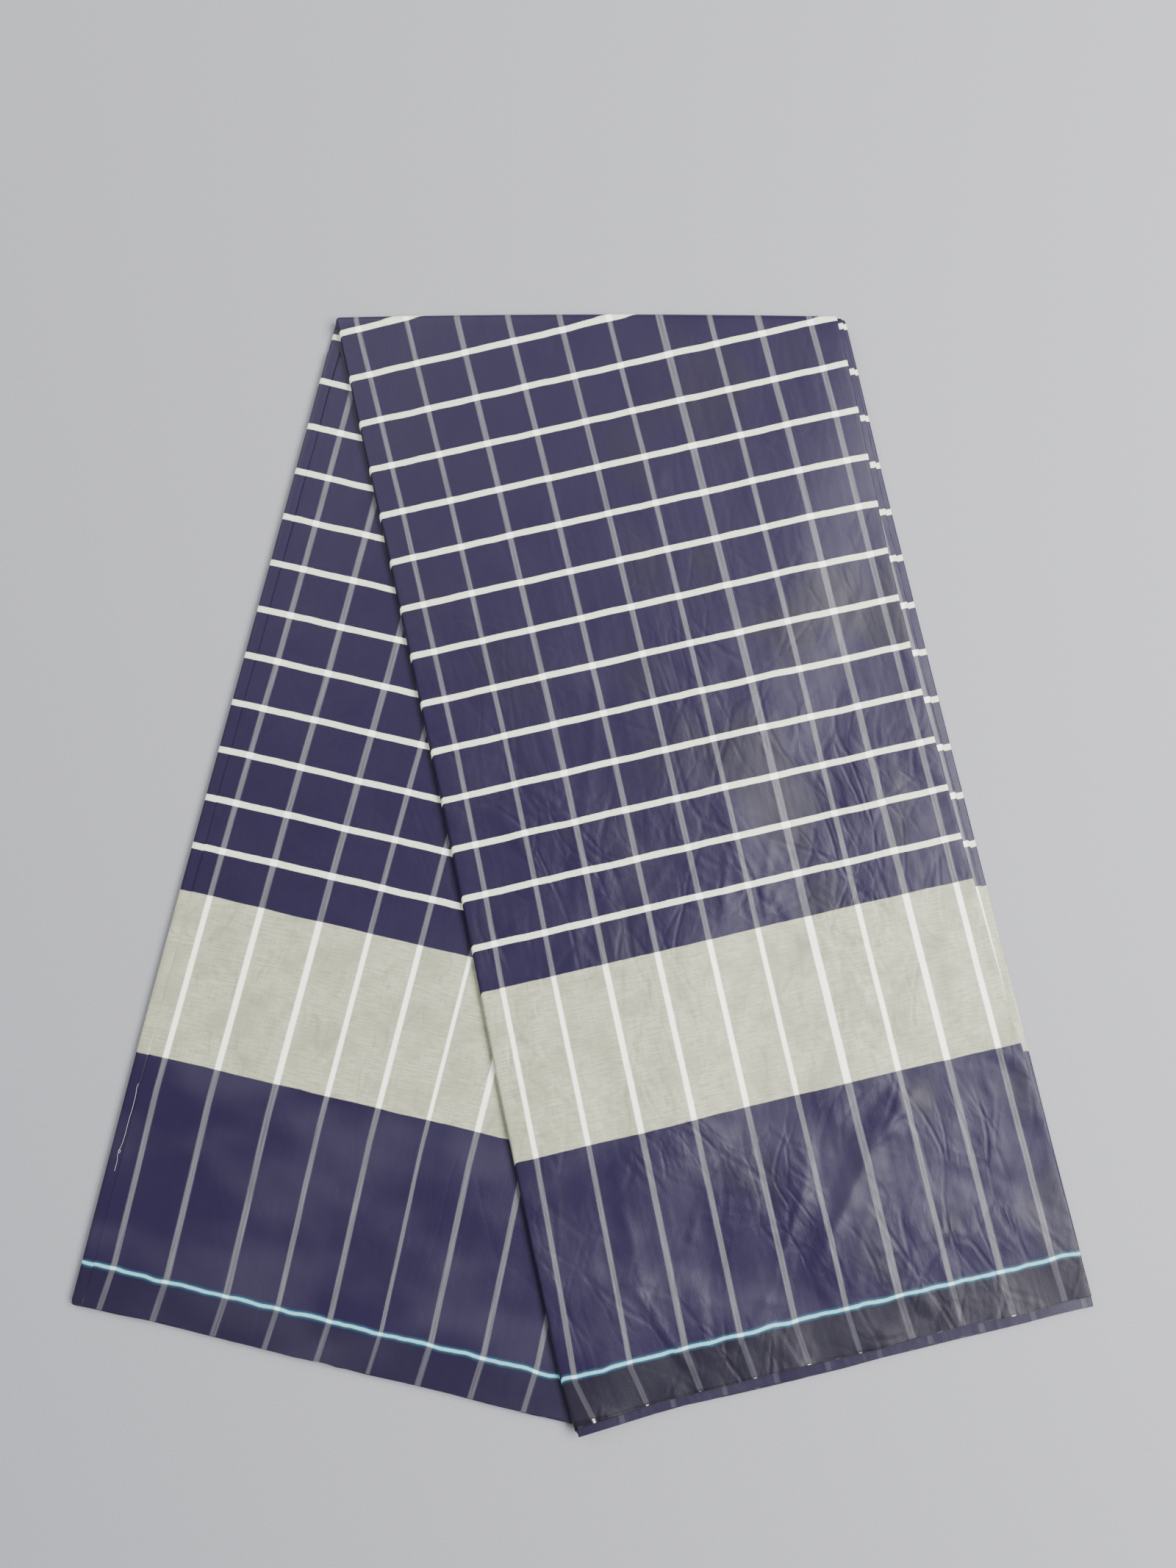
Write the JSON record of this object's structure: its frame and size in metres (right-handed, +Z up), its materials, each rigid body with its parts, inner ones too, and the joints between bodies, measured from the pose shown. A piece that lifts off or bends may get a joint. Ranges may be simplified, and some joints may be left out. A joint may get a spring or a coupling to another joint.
{
  "type": "folded longyi sarong",
  "caption": "Checked cotton longyi sarong, folded into a long strip and once across on a slanted crease, lying flat with its two legs spread.",
  "frame": {"origin": "under the middle of the whole outline, on the surface the cloth lies on", "axes": "+Z up from the surface; the crease runs along X at the +Y end and the two legs spread towards -Y"},
  "size_m": [0.5528, 0.6228, 0.0079],
  "materials": {
    "check_cloth": "calendered navy cotton with off-white and grey checks and a pale border band",
    "seam": "doubled cotton with pale sewing thread"
  },
  "bodies": {
    "root": {"right_leg_cloth": "check_cloth", "left_leg_cloth": "check_cloth", "hidden_layers": "check_cloth", "side_seam": "seam"}
  },
  "joints": []
}
